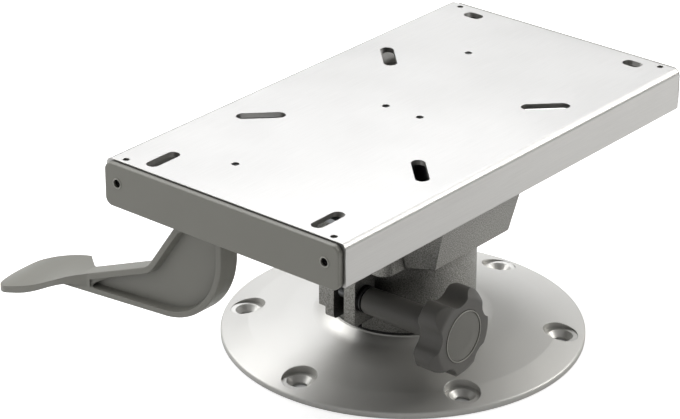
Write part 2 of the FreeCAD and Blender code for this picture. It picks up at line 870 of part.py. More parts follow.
def shaft_bracket(centre):
    """Bearing block under the plate: flat foot, round nose about the shaft."""
    start = centre - bracket_length / 2
    nose = shaft_z - bracket_radius
    outline = [
        (shaft_x - bracket_foot_half, plate_under, 0),
        (shaft_x - bracket_foot_half, plate_under - 3, 0.8),
        (shaft_x - bracket_radius, shaft_z, 2),
        (shaft_x - bracket_radius, nose, bracket_radius - 0.1),
        (shaft_x + bracket_radius, nose, bracket_radius - 0.1),
        (shaft_x + bracket_radius, shaft_z, 2),
        (shaft_x + bracket_foot_half, plate_under - 3, 0.8),
        (shaft_x + bracket_foot_half, plate_under, 0),
    ]
    body = prism(outline, on_xz(start), Y_AXIS * bracket_length)
    bore = rod(shaft_radius + running_fit, Vector(shaft_x, start - 1, shaft_z),
               Vector(shaft_x, start + bracket_length + 1, shaft_z))
    socket = rod(stud_hole_radius - face_gap, Vector(shaft_x, centre, shaft_z),
                 Vector(shaft_x, centre, plate_under + 1))
    return body.cut([bore, socket])


def studs(places, foot):
    """Short threaded studs from the plate's small holes down into the piece below."""
    pieces = []
    for x, y in places:
        stud = rod(stud_hole_radius - face_gap - seat_fit, Vector(x, y, foot),
                   Vector(x, y, plate_top - stud_sink))
        socket = hexagon(2.2, lambda u, v: Vector(x + u, y + v, plate_top - stud_sink - 1.5), Z_AXIS * 2)
        pieces.append(stud.cut(socket))
    return Part.makeCompound(pieces)


def travel_stop():
    """Block under the plate that meets the frame's upturned tabs at each end of the travel."""
    outline = rectangle(-stop_half_width, stop_half_width, stop_y - stop_length / 2,
                        stop_y + stop_length / 2, 1.5)
    body = prism(outline, on_xy(plate_under - stop_drop), Z_AXIS * stop_drop)
    sockets = [rod(stud_hole_radius - face_gap, Vector(x, stop_y, plate_under - stop_stud_depth - 1),
                   Vector(x, stop_y, plate_under + 1)) for x in (-stop_stud_x, stop_stud_x)]
    return body.cut(sockets)


# The release lever and what turns with its shaft

def lever_shaft():
    body = rod(shaft_radius, Vector(shaft_x, shaft_front, shaft_z), Vector(shaft_x, shaft_rear, shaft_z))
    cuts = []
    for y in clip_places():
        outer = rod(shaft_radius + 1, Vector(shaft_x, y, shaft_z),
                    Vector(shaft_x, y + clip_thickness + seat_fit, shaft_z))
        inner = rod(shaft_radius - clip_groove, Vector(shaft_x, y - 1, shaft_z),
                    Vector(shaft_x, y + clip_thickness + 1, shaft_z))
        cuts.append(outer.cut(inner))
    for y in pin_places():
        cuts.append(cross_pin(y, shaft_radius + 1, pin_radius))
    return body.cut(cuts)


def clip_places():
    return (lever_front - clip_thickness - face_gap,
            bracket_rear_y + bracket_length / 2 + face_gap)


def pin_places():
    return (lever_front + lever_width / 2, pawl_front() + pawl_length / 2,
            collar_y + collar_length / 2)


def cross_pin(y, reach, radius):
    return rod(radius, Vector(shaft_x - reach, y, shaft_z), Vector(shaft_x + reach, y, shaft_z))


def shaft_clips():
    """Open retaining rings in the shaft's two grooves."""
    clips = []
    for y in clip_places():
        start = Vector(shaft_x, y + seat_fit / 2, shaft_z)
        end = Vector(shaft_x, y + seat_fit / 2 + clip_thickness, shaft_z)
        outer = rod(shaft_radius + clip_width, start, end)
        inner = rod(shaft_radius - clip_groove + seat_fit, start, end)
        mouth = block(shaft_x - 2, shaft_x + 2, y - 1, y + clip_thickness + 1, shaft_z,
                      shaft_z + shaft_radius + clip_width + 1)
        clips.append(outer.cut([inner, mouth]))
    return Part.makeCompound(clips)


def lever_arm():
    """Side view of the lever's arm: down from the hub, round the heel, out to the paddle."""
    return rounded_face([
        (shaft_x + arm_half, shaft_z, 0),
        (shaft_x + arm_half, heel_height, heel_curve),
        (arm_tip_x, arm_tip_low, 0),
        (arm_tip_x, arm_tip_high, 0),
        (elbow_x, elbow_height, elbow_curve),
        (throat_x, throat_height, throat_curve),
        (shoulder_x, shoulder_height_on_arm, shoulder_curve),
        (shaft_x - arm_half, shaft_z, 0),
    ], on_xz(lever_front))


def lever_paddle():
    """Drooping blade lofted through tilted sections, trimmed to a round-ended plan."""
    near = lever_front - paddle_front
    far = lever_front + lever_width + paddle_rear
    middle = (near + far) / 2
    sections = []
    for x, height, tilt, thickness in paddle_line:
        corners = []
        for y, drop in ((near - 2, 0), (far + 2, 0), (far + 2, thickness), (near - 2, thickness)):
            corners.append(Vector(x, y, height + tilt * (y - middle) - drop))
        sections.append(Part.makePolygon(corners + corners[:1]))
    slab = Part.makeLoft(sections, True, False)
    root = paddle_line[0][0]
    plan = [(paddle_near_tip, near, paddle_corner), (paddle_shoulder, near, 30),
            (root, lever_front + 1, 0), (root, lever_front + lever_width - 1, 0),
            (paddle_neck, lever_front + lever_width, 5), (paddle_shoulder, far, 1.5),
            (paddle_far_tip, far, paddle_corner)]
    return slab.common(prism(plan, on_xy(0), Z_AXIS * plate_bottom))


def lever_pocket_tool():
    """Drafted pocket in the near side of the arm, inside its rim."""
    outline = lever_arm().OuterWire
    mouth = outline.makeOffset2D(-lever_rim)
    floor = outline.makeOffset2D(-lever_rim - pocket_draft)
    floor.translate(Y_AXIS * lever_pocket)
    pocket = Part.makeLoft([mouth, floor], True, True)
    far_side = lever_front + lever_width + 1
    reach = block(pocket_end, 0, lever_front - 1, far_side, 0, shaft_z)
    keep = rod(lever_hub_radius + 2, Vector(shaft_x, lever_front - 1, shaft_z),
               Vector(shaft_x, far_side, shaft_z))
    return pocket.common(reach).cut(keep)


def release_lever():
    """One moulding: hub on the shaft, rimmed J-shaped arm with a thin web, and a paddle."""
    start = Vector(shaft_x, lever_front, shaft_z)
    end = Vector(shaft_x, lever_front + lever_width, shaft_z)
    arm = lever_arm().extrude(Y_AXIS * lever_width)
    outline = [edge for edge in arm.Edges
               if abs(edge.BoundBox.YLength) < 1e-6 and edge.BoundBox.ZMax < shaft_z - 1e-6]
    arm = arm.makeFillet(lever_edge, outline)
    body = arm.multiFuse([rod(lever_hub_radius, start, end), lever_paddle()])
    pocket = lever_pocket_tool()
    cuts = [pocket, pocket.mirror((start + end) / 2, Y_AXIS),
            rod(shaft_radius + seat_fit, start - Y_AXIS, end + Y_AXIS),
            cross_pin(pin_places()[0], lever_hub_radius + 1, pin_radius)]
    return body.cut(cuts)


def pawl():
    """Toothed arm on the shaft; its teeth stand just clear above the rack's notches."""
    rack_top = floor_top + rack_height
    tooth_low = rack_top + pawl_gap
    root = tooth_low + rack_notch_depth
    outline = [
        (rack_x - rack_width / 2, root, 0),
        (shaft_x, root, 0),
        (shaft_x, shaft_z + 4, 0),
        (shaft_x - pawl_hub_radius, shaft_z + 5, 3),
        (rack_x - rack_width / 2, root + 5, 1.5),
    ]
    front = pawl_front()
    body = prism(outline, on_xz(front), Y_AXIS * pawl_length)
    hub = rod(pawl_hub_radius, Vector(shaft_x, front, shaft_z),
              Vector(shaft_x, front + pawl_length, shaft_z))
    teeth = []
    for i in (-1, 1):
        y = front + pawl_length / 2 + i * notch_pitch / 2
        half = notch_width / 2 - slide_gap
        profile = [(y - half, root + 1, 0), (y - half, root, 0), (y - half + notch_draft, tooth_low, 0),
                   (y + half - notch_draft, tooth_low, 0), (y + half, root, 0), (y + half, root + 1, 0)]
        teeth.append(prism(profile, on_yz(rack_x - rack_width / 2 + 0.5), X_AXIS * (rack_width - 1)))
    bore = rod(shaft_radius + seat_fit, Vector(shaft_x, front - 1, shaft_z),
               Vector(shaft_x, front + pawl_length + 1, shaft_z))
    pin = cross_pin(pin_places()[1], shaft_x - rack_x + rack_width, pin_radius)
    return body.multiFuse([hub] + teeth).cut([bore, pin])


def spring_collar():
    """Pinned ring with a small hole for the spring's tail."""
    start = Vector(shaft_x, collar_y, shaft_z)
    end = Vector(shaft_x, collar_y + collar_length, shaft_z)
    tail = Vector(coil_radius(), 0, 0)
    return rod(collar_radius, start, end).cut([
        rod(shaft_radius + seat_fit, start, end),
        rod(spring_wire / 2 + pin_fit, start + tail, start + tail + Y_AXIS * (spring_tail + 1)),
        cross_pin(pin_places()[2], collar_radius + 1, pin_radius)])


def cross_pins():
    """Spring pins through lever hub, pawl and collar."""
    reaches = (lever_hub_radius - 0.5, pawl_hub_radius - 0.5, collar_radius - 0.5)
    pins = [cross_pin(y, reach, pin_radius - pin_fit) for y, reach in zip(pin_places(), reaches)]
    return Part.makeCompound(pins)


def coil_radius():
    return shaft_radius + spring_clear + spring_wire / 2


def return_spring():
    """Torsion spring about the shaft: one leg up against the plate, the tail in the collar."""
    start = bracket_front_y + bracket_length / 2 + spring_wire / 2 + slide_gap + spring_lean
    room = collar_y - slide_gap - spring_wire / 2 - start
    helix = Part.makeHelix(room / spring_turns, room, coil_radius())
    helix.rotate(Vector(0, 0, 0), X_AXIS, -90)
    helix.translate(Vector(shaft_x, start, shaft_z))
    path = Part.Wire(helix.Edges)
    first = path.Edges[0]
    mouth = first.valueAt(first.FirstParameter)
    tangent = first.tangentAt(first.FirstParameter)
    section = Part.Wire(Part.makeCircle(spring_wire / 2, mouth, tangent))
    coil = path.makePipeShell([section], True, True)
    leg = rod(spring_wire / 2, mouth, mouth - tangent * (plate_under - shaft_z - face_gap))
    end = Vector(mouth.x, start + room - spring_wire / 2, shaft_z)
    tail = rod(spring_wire / 2, end, Vector(end.x, collar_y + spring_tail, shaft_z))
    return coil.multiFuse([leg, tail])


# The clamp's moving pieces

def clamp_ring(radius, start, thickness):
    outer = rod(radius, Vector(start, clamp_y, clamp_z), Vector(start + thickness, clamp_y, clamp_z))
    inner = rod(clamp_screw_radius + clamp_hole_slack, Vector(start, clamp_y, clamp_z),
                Vector(start + thickness, clamp_y, clamp_z))
    return outer.cut(inner)


def star_outline():
    """Wire of the knob's star: round lobes joined by hollow flutes, each arc tangent to the next."""
    lobe_centre = star_radius - lobe_radius
    step = math.pi / lobe_count
    # The flute's radius follows from tangency with the lobes and the depth of the valley.
    cosine = math.cos(step)
    above = lobe_centre ** 2 + star_valley ** 2 - 2 * lobe_centre * star_valley * cosine
    flute = (above - lobe_radius ** 2) / (2 * (lobe_radius - star_valley + lobe_centre * cosine))
    flute_centre = star_valley + flute

    def place(radius, angle):
        return Vector(star_rear, clamp_y + radius * math.cos(angle), clamp_z + radius * math.sin(angle))

    def touch(lobe, valley):
        start = place(lobe_centre, lobe)
        end = place(flute_centre, valley)
        return start + (end - start) * (lobe_radius / (lobe_radius + flute))

    edges = []
    for i in range(lobe_count):
        lobe = math.radians(lobe_angle) + 2 * step * i
        before = touch(lobe, lobe - step)
        after = touch(lobe, lobe + step)
        edges.append(Part.Arc(before, place(star_radius, lobe), after).toShape())
        following = touch(lobe + 2 * step, lobe + step)
        edges.append(Part.Arc(after, place(star_valley, lobe + step), following).toShape())
    return Part.Wire(edges)


def clamp_knob():
    """Moulded star knob on a long tapered neck, recessed in front for its cap."""
    star = Part.Face(star_outline()).extrude(X_AXIS * star_thickness)
    rim = star_radius + 0.3
    envelope = turned_on_clamp([
        (star_rear, 0, 0),
        (star_rear, rim - star_rear_bevel, 1.0),
        (star_rear + star_rear_bevel, rim, 1.0),
        (star_front - star_bevel, rim, 4),
        (star_front, rim - star_bevel, 3),
        (star_front, 0, 0),
    ])
    neck = turned_on_clamp([
        (neck_face, 0, 0),
        (neck_face, neck_radius, neck_end_round),
        (star_rear, neck_end_radius, 4),
        (star_rear, star_valley - 4, 0),
        (star_rear + 2, star_valley - 4, 0),
        (star_rear + 2, 0, 0),
    ])
    recess = rod(knob_cap_radius + knob_cap_gap, Vector(star_front - knob_cap_thickness, clamp_y, clamp_z),
                 Vector(star_front + 1, clamp_y, clamp_z))
    bore = rod(clamp_screw_radius, Vector(neck_face - 1, clamp_y, clamp_z),
               Vector(neck_face + screw_in_knob + 1, clamp_y, clamp_z))
    return star.common(envelope).fuse(neck).cut([recess, bore]).removeSplitter()


def knob_cap():
    floor = star_front - knob_cap_thickness
    return turned_on_clamp([
        (floor, 0, 0),
        (floor, knob_cap_radius, 0),
        (star_front, knob_cap_radius, 0.8),
        (star_front + knob_cap_crown, knob_cap_radius / 2, knob_cap_dome),
        (star_front + knob_cap_crown, 0, 0),
    ])


def clamp_screw():
    start = nut_boss_face - 1.5
    end = neck_face + screw_in_knob
    body = rod(clamp_screw_radius - running_fit, Vector(start, clamp_y, clamp_z),
               Vector(end, clamp_y, clamp_z))
    return body


def pieces():
    """Every node's name and solid."""
    made = {
        "base_casting": base_casting(),
        "thrust_washer": thrust_washer(),
        "upper_thrust_washer": upper_thrust_washer(),
        "retaining_disc": retaining_disc(),
        "retaining_bolt": retaining_bolt(),
        "housing_casting": housing_casting(),
        "swivel_bush": swivel_bush(),
        "clamp_nut": clamp_nut(),
        "slide_frame": slide_frame(),
        "notch_rack": notch_rack(),
        "frame_bolts": frame_bolts(),
        "seat_plate": seat_plate(),
        "front_cap": end_cap(-1),
        "rear_cap": end_cap(1),
        "cap_screws": cap_screws(),
        "front_shaft_bracket": shaft_bracket(bracket_front_y),
        "rear_shaft_bracket": shaft_bracket(bracket_rear_y),
        "bracket_studs": studs(stud_places()[:2], shaft_z + shaft_radius + 1),
        "travel_stop": travel_stop(),
        "stop_studs": studs(stud_places()[2:], plate_under - stop_stud_depth),
        "lever_shaft": lever_shaft(),
        "shaft_clips": shaft_clips(),
        "release_lever": release_lever(),
        "pawl": pawl(),
        "spring_collar": spring_collar(),
        "cross_pins": cross_pins(),
        "return_spring": return_spring(),
        "steel_clamp_washer": clamp_ring(clamp_washer_radius, washer_face, steel_washer_thickness),
        "soft_clamp_washer": clamp_ring(clamp_washer_radius - 0.3, soft_washer_face,
                                        soft_washer_thickness),
        "clamp_screw": clamp_screw(),
        "clamp_knob": clamp_knob(),
        "knob_cap": knob_cap(),
    }
    for end, centre in zip(("front", "rear"), glide_centres()):
        made[end + "_left_glide"] = glide(-1, centre)
        made[end + "_right_glide"] = glide(1, centre)
    return made


os.makedirs("parts", exist_ok=True)
for name, shape in pieces().items():
    if not shape.isValid():
        raise ValueError(name + " is not a valid solid")
    shape.exportStep("parts/" + name + ".step")
    print(name, len(shape.Solids), round(shape.Volume), [round(v, 1) for v in (
        shape.BoundBox.XMin, shape.BoundBox.XMax, shape.BoundBox.YMin, shape.BoundBox.YMax,
        shape.BoundBox.ZMin, shape.BoundBox.ZMax)])
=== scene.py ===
# %% [markdown]
# # Swivel seat slide
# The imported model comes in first, as the frame that every finish and every added piece follows.
# Its nodes already ride on six bodies, of which all but the base move, so this lesson only
# dresses them, adds what the construction leaves out, and lights them as in a catalogue
# photograph.

# %% Load the frame
import math
import bmesh
import bpy
from mathutils import Matrix, Vector


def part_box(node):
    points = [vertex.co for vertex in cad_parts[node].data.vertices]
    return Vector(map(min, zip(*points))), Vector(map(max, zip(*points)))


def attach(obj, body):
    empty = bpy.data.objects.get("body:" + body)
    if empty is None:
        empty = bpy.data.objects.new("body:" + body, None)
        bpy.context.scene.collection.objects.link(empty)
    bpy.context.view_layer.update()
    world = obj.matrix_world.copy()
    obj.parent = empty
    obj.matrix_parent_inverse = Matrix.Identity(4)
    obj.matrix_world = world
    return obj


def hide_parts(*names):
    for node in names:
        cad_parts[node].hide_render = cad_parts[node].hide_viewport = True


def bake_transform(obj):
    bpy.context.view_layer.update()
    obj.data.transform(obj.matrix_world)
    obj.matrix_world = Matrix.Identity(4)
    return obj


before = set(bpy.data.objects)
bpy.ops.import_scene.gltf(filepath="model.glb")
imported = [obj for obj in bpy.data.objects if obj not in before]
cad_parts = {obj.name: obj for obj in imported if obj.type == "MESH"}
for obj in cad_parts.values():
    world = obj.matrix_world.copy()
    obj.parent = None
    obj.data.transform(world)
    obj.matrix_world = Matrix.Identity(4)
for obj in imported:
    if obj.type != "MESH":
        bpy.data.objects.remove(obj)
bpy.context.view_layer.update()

# %% [markdown]
# The camera stands where the photographer stood: forty degrees round to the right of the seat's
# front and twenty-five degrees up, far back with a long lens, so that lines on the plate hardly
# converge. Its place came from the ellipse of the base flange.

# %% Camera
CAMERA_PLACE = (0.9893, -1.2386, 0.8387)
CAMERA_TURN = 40.02
CAMERA_RISE = 25.53
CAMERA_ROLL = 0.07

camera_data = bpy.data.cameras.new("camera")
camera_data.lens = 153.47
camera_data.sensor_width = 36.0
camera_data.clip_end = 50.0
camera = bpy.data.objects.new("camera", camera_data)
bpy.context.scene.collection.objects.link(camera)
turn = Matrix.Rotation(math.radians(CAMERA_TURN), 4, "Z")
tip = Matrix.Rotation(math.radians(90 - CAMERA_RISE), 4, "X")
roll = Matrix.Rotation(math.radians(CAMERA_ROLL), 4, "Z")
camera.matrix_world = Matrix.Translation(CAMERA_PLACE) @ turn @ tip @ roll
bpy.context.scene.camera = camera
bpy.context.scene.view_settings.view_transform = "Standard"
print("camera", tuple(round(v, 3) for v in camera.location))

# %% [markdown]
# Three small helpers serve every finish: one turns an sRGB code into the linear colour that a
# shader takes, one adds a shader node with its settings and links, and one turns a size in
# millimetres into a texture's scale, so that each pattern can be given its real size.

# %% Colours, nodes and sizes
def colour(code):
    """sRGB hex code to the linear colour that a shader socket takes."""
    parts = [int(code[i:i + 2], 16) / 255 for i in (1, 3, 5)]
    return (*[v / 12.92 if v <= 0.04045 else ((v + 0.055) / 1.055) ** 2.4 for v in parts], 1.0)


def add_node(tree, kind, inputs=None, **settings):
    """Adds a shader node; inputs are values or sockets, settings are the node's own options."""
    made = tree.nodes.new(kind)
    for name, value in settings.items():
        setattr(made, name, value)
    for name, value in (inputs or {}).items():
        if isinstance(value, bpy.types.NodeSocket):
            tree.links.new(value, made.inputs[name])
        else:
            made.inputs[name].default_value = value
    return made


def per_mm(size):
    """Texture scale at which one repeat is this many millimetres long."""
    return 1000.0 / size


print("a mid grey is", [round(v, 3) for v in colour("#808080")])

# %% [markdown]
# Every finish here is a near-even colour that drifts over patches, with a fine relief on top.
# Cast and extruded metal also take part of their tone from the relief, since dirt and shine sit
# in its grains. No real edge is sharp, so the shading rounds each by a fraction of a millimetre.
# Slots and hollows get painted shade: the colour is darkened where other surfaces lie near.
# Object coordinates carry the patterns, because a part's object sits at the origin, so a
# pattern turns and slides with the part.

# %% One surface for every finish
# Noise hardly leaves this range, so the range is stretched to the whole of what it drives.
NOISE_RANGE = {"From Min": 0.3, "From Max": 0.7}


def surface(name, dark, light, patch, metallic, roughness, spread, grain, depth,
            stretch=(1, 1, 1), fleck=0.0, edge=0.4, crevice=4.0, shade_strength=0.5):
    """Material between two tones, with painted shade in hollows; patch, grain, depth, edge and
    crevice are in millimetres.
    """
    made = bpy.data.materials.new(name)
    made.use_nodes = True
    tree = made.node_tree
    shader = tree.nodes["Principled BSDF"]
    place = add_node(tree, "ShaderNodeTexCoord").outputs["Object"]

    drift = add_node(tree, "ShaderNodeTexNoise", {
        "Vector": place, "Scale": per_mm(patch), "Detail": 4.0}).outputs["Fac"]
    rough = add_node(tree, "ShaderNodeMapRange", {
        "Value": drift, **NOISE_RANGE, "To Min": roughness - spread, "To Max": roughness + spread})
    drawn = add_node(tree, "ShaderNodeMapping", {"Vector": place, "Scale": stretch})
    grains = add_node(tree, "ShaderNodeTexNoise", {
        "Vector": drawn.outputs["Vector"], "Scale": per_mm(grain), "Detail": 3.0}).outputs["Fac"]

    flecks = add_node(tree, "ShaderNodeMapRange", {"Value": grains, **NOISE_RANGE})
    share = add_node(tree, "ShaderNodeMix", {
        "Factor": fleck, "A": drift, "B": flecks.outputs["Result"]})
    tone = add_node(tree, "ShaderNodeMix", {"Factor": share.outputs["Result"]}, data_type="RGBA")
    # Sockets 6 and 7 of a colour mix are its two colours, and output 2 is the mixed one.
    tone.inputs[6].default_value = colour(dark)
    tone.inputs[7].default_value = colour(light)

    # Painted shade: within the crevice distance of other surfaces, the colour is darkened.
    hollow = add_node(tree, "ShaderNodeAmbientOcclusion", {"Distance": crevice / 1000.0}, samples=8)
    painted_shade = add_node(tree, "ShaderNodeMapRange", {
        "Value": hollow.outputs["AO"], "To Min": 1.0 - shade_strength, "To Max": 1.0})
    shaded_tone = add_node(tree, "ShaderNodeVectorMath", {
        0: tone.outputs[2], "Scale": painted_shade.outputs["Result"]}, operation="SCALE")
    rounded = add_node(tree, "ShaderNodeBevel", {"Radius": edge / 1000.0}, samples=4)
    relief = add_node(tree, "ShaderNodeBump", {
        "Height": grains, "Distance": depth / 1000.0, "Normal": rounded.outputs[0]})

    tree.links.new(shaded_tone.outputs[0], shader.inputs["Base Color"])
    tree.links.new(rough.outputs["Result"], shader.inputs["Roughness"])
    tree.links.new(relief.outputs["Normal"], shader.inputs["Normal"])
    shader.inputs["Metallic"].default_value = metallic
    print(name, "has grains of", grain, "mm")
    return made

# %% [markdown]
# Three kinds of aluminium make up most of what shows. The base was turned on a lathe, whose fine
# rings spread each highlight into a fan, so its shader gets a tangent that runs round the axis.
# Each ring is too fine to show by itself. The housing was cast in sand and keeps the sand's
# grain. The plate was extruded, and faint lines run along it the way it left the die. Those are
# too fine as well, so they are drawn half a millimetre wide, as coarse as they need to be to show.

# %% Aluminium
LATHE_STRETCH = 0.3
LATHE_TURN = 0.25

# Turned and lightly brushed: pale, with highlights that fan out from the hub.
turned_aluminium = surface(
    "turned_aluminium", "#D3D2CE", "#D9D8D4", patch=40, metallic=0.86, roughness=0.50,
    spread=0.03, grain=0.35, depth=0.006, edge=0.6, crevice=5)
tree = turned_aluminium.node_tree
shader = tree.nodes["Principled BSDF"]
rings = add_node(tree, "ShaderNodeTangent", direction_type="RADIAL", axis="Z")
tree.links.new(rings.outputs[0], shader.inputs["Tangent"])
shader.inputs["Anisotropic"].default_value = LATHE_STRETCH
shader.inputs["Anisotropic Rotation"].default_value = LATHE_TURN

# Cast in sand: bright grains beside dark pits give a coarse salt-and-pepper look.
# Its painted shade reaches 50 mm and is strong, so the housing darkens wherever other parts are
# near.
cast_aluminium = surface(
    "sand_cast_aluminium", "#6A6964", "#C4C3BE", patch=9, metallic=1.0, roughness=0.46,
    spread=0.05, grain=0.65, depth=0.34, fleck=0.85, edge=1.0, crevice=50, shade_strength=0.9)

# Extruded and clear anodised: an even silver, with faint draw lines along the plate and painted
# shade in its slots.
drawn_aluminium = surface(
    "anodised_extrusion", "#BEBDBA", "#CFCECB", patch=60, metallic=1.0, roughness=0.40,
    spread=0.02, grain=0.5, depth=0.004, stretch=(1, 0.02, 1), fleck=0.3, edge=0.5,
    crevice=6, shade_strength=0.85)

# %% [markdown]
# Bolts, nuts and the folded frame are steel with a bright zinc plate, the cap screws and one
# washer are blackened, and the spring, pins and clips are bare wire. All of it is smooth, so the
# three differ in tone and shine, and hardly in relief.

# %% Steel
# Zinc plate: cool and clean, so fasteners stand out from the warmer aluminium.
zinc = surface(
    "bright_zinc_plate", "#A3A6A9", "#B1B3B4", patch=6, metallic=1.0, roughness=0.34,
    spread=0.04, grain=0.4, depth=0.01)

# Blackened steel: almost black, with only a thin sheen that shows its shape.
blackened = surface(
    "blackened_steel", "#1B1B1B", "#262625", patch=4, metallic=1.0, roughness=0.45,
    spread=0.05, grain=0.4, depth=0.01)

# Spring wire: drawn steel, darker than zinc and with a tighter shine.
spring_wire = surface(
    "spring_wire_steel", "#6E7276", "#7C8083", patch=5, metallic=1.0, roughness=0.30,
    spread=0.04, grain=0.3, depth=0.008)

# %% [markdown]
# The caps, the lever and the knob are moulded plastic, an even colour under a soft, broad sheen
# from the fine texture of the mould. The bearings inside are nylon and the glides are acetal.

# %% Plastics
# Moulded grey plastic: a warm even grey with a soft sheen, and painted shade within 25 mm of other
# parts.
grey_plastic = surface(
    "grey_moulded_plastic", "#86857D", "#8C8B83", patch=30, metallic=0.0, roughness=0.42,
    spread=0.03, grain=0.5, depth=0.012, edge=0.7, crevice=25, shade_strength=0.6)

# The disc pressed into the knob: a step lighter, so it reads as a part of its own.
cap_plastic = surface(
    "knob_cap_plastic", "#706F69", "#75746E", patch=30, metallic=0.0, roughness=0.45,
    spread=0.03, grain=0.5, depth=0.012)

# The knob's plastic: darker, with full round edges that each carry a soft line of light.
dark_plastic = surface(
    "dark_grey_plastic", "#5B5A56", "#615F5B", patch=20, metallic=0.0, roughness=0.46,
    spread=0.03, grain=0.5, depth=0.010, edge=0.9)

# Black nylon: matt, so the bearings read as dark seams between the metals.
black_plastic = surface(
    "moulded_black_nylon", "#1E1E1E", "#262626", patch=10, metallic=0.0, roughness=0.45,
    spread=0.05, grain=0.6, depth=0.01)

# White acetal: the glides look clean and a little waxy.
white_plastic = surface(
    "white_acetal", "#D5D4CC", "#DEDDD6", patch=15, metallic=0.0, roughness=0.35,
    spread=0.04, grain=0.8, depth=0.008)

# %% [markdown]
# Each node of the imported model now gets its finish. Its mesh stays as it is, so only the
# material in its slots changes.

# %% Dress the nodes
def dress(material, *nodes):
    """Gives CAD nodes this material."""
    for name in nodes:
        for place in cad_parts[name].material_slots:
            place.material = material
    print(material.name, "on", len(nodes), "nodes")


dress(turned_aluminium, "base_casting")
dress(cast_aluminium, "housing_casting", "front_shaft_bracket", "rear_shaft_bracket")
dress(drawn_aluminium, "seat_plate")
dress(zinc, "retaining_disc", "retaining_bolt", "clamp_nut", "slide_frame", "notch_rack",
      "frame_bolts", "bracket_studs", "stop_studs", "lever_shaft", "pawl", "spring_collar",
      "clamp_screw")
dress(blackened, "cap_screws", "steel_clamp_washer")
dress(grey_plastic, "front_cap", "rear_cap", "release_lever")
dress(cap_plastic, "knob_cap")
dress(dark_plastic, "clamp_knob")
dress(black_plastic, "thrust_washer", "upper_thrust_washer", "swivel_bush", "travel_stop",
      "soft_clamp_washer")
dress(white_plastic, "front_left_glide", "front_right_glide", "rear_left_glide",
      "rear_right_glide")
dress(spring_wire, "return_spring", "shaft_clips", "cross_pins")

# %% [markdown]
# An added piece is drawn as a bmesh at its place, so its object can stay at the origin as a
# node's does. Its normals are made to point outwards, and then it is told its material and body.

# %% From bmesh to piece
def finished(mesh_code, name, material, body):
    """Makes a bmesh an object at the origin, with its material and body."""
    bmesh.ops.recalc_face_normals(mesh_code, faces=mesh_code.faces[:])
    data = bpy.data.meshes.new(name)
    mesh_code.to_mesh(data)
    mesh_code.free()
    data.materials.append(material)
    piece = bpy.data.objects.new(name, data)
    bpy.context.scene.collection.objects.link(piece)
    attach(piece, body)
    print(name, "has", len(data.polygons), "faces")
    return piece

# %% [markdown]
# The construction gives the clamp screw as a plain rod. On the real one an M8 thread runs
# along it, which shows at the nut and in the slit of the clamp. A zigzag line is spun once round
# the axis while it moves along by one pitch. Each turn then ends where the next begins, so
# merging the doubles leaves one screw thread, and its two ends are filled.

# %% Thread of the clamp screw
AXIS_Y = -0.053
AXIS_Z = 0.0465
THREAD_PITCH = 0.00125
THREAD_CREST = 0.00392
THREAD_ROOT = 0.00330
TURN_STEPS = 28
THREAD_MERGE = 0.00002

low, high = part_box("clamp_screw")
turns = int((high[0] - low[0]) / THREAD_PITCH) - 1
screw = bmesh.new()
line = []
for step in range(2 * turns + 1):
    radius = THREAD_CREST if step % 2 and step > 1 else THREAD_ROOT
    line.append(screw.verts.new((low[0] + step * THREAD_PITCH / 2, AXIS_Y, AXIS_Z + radius)))
for first, second in zip(line, line[1:]):
    screw.edges.new((first, second))
bmesh.ops.spin(screw, geom=screw.verts[:] + screw.edges[:], cent=(0, AXIS_Y, AXIS_Z),
               axis=(1, 0, 0), dvec=(THREAD_PITCH / TURN_STEPS, 0, 0), angle=math.tau,
               steps=TURN_STEPS)
bmesh.ops.remove_doubles(screw, verts=screw.verts[:], dist=THREAD_MERGE)
ends = [e for e in screw.edges if e.is_boundary]
bmesh.ops.holes_fill(screw, edges=ends, sides=0)
print("turns", turns, "open edges left", sum(e.is_boundary for e in screw.edges))
thread = finished(screw, "clamp_screw_thread", zinc, "knob")
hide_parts("clamp_screw")

# %% [markdown]
# The return spring has one leg against the plate and its tail in the collar on the shaft, so
# it winds up as the lever turns. Here a copy of the coil takes the imported spring's place,
# with its doubled vertices merged and its placement baked into the mesh.

# %% Copy of the return spring
WIRE_MERGE = 0.000005

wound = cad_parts["return_spring"].copy()
wound.data = wound.data.copy()
wound.name = "winding_return_spring"
wound.parent = None
bpy.context.scene.collection.objects.link(wound)
coil = bmesh.new()
coil.from_mesh(wound.data)
bmesh.ops.remove_doubles(coil, verts=coil.verts[:], dist=WIRE_MERGE)
coil.to_mesh(wound.data)
coil.free()

low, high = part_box("return_spring")
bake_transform(wound)
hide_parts("return_spring")
print("spring", round(1000 * (high[1] - low[1]), 1), "mm long")

# %% [markdown]
# Thin pale rings are a painted highlight: they stand for the light on the rims round the disc
# pressed into the knob and round the screw holes of the end caps. Each is a small circle spun
# round its hole's axis, set half into the surface.

# %% Painted highlight rims
KNOB_RIM = 0.0007
KNOB_RIM_DEPTH = 0.0004
KNOB_RIM_MARGIN = 0.0002
HOLE_RIM = 0.0009
HOLE_RIM_RADIUS = 0.0029
CAP_SCREW_X = 0.078
CAP_SCREW_Z = 0.135
# Each cap with the side of a box that faces outwards, 0 low or 1 high, and its direction on Y.
CAP_FACES = (("front_cap", 0, -1), ("rear_cap", 1, 1))

# Painted highlight on the rims: a pale plastic, smoother than the faces beside it.
highlight_rim_plastic = surface(
    "rubbed_plastic_rim", "#A9A8A0", "#B1B0A8", patch=6, metallic=0.0, roughness=0.35,
    spread=0.04, grain=0.5, depth=0.01)


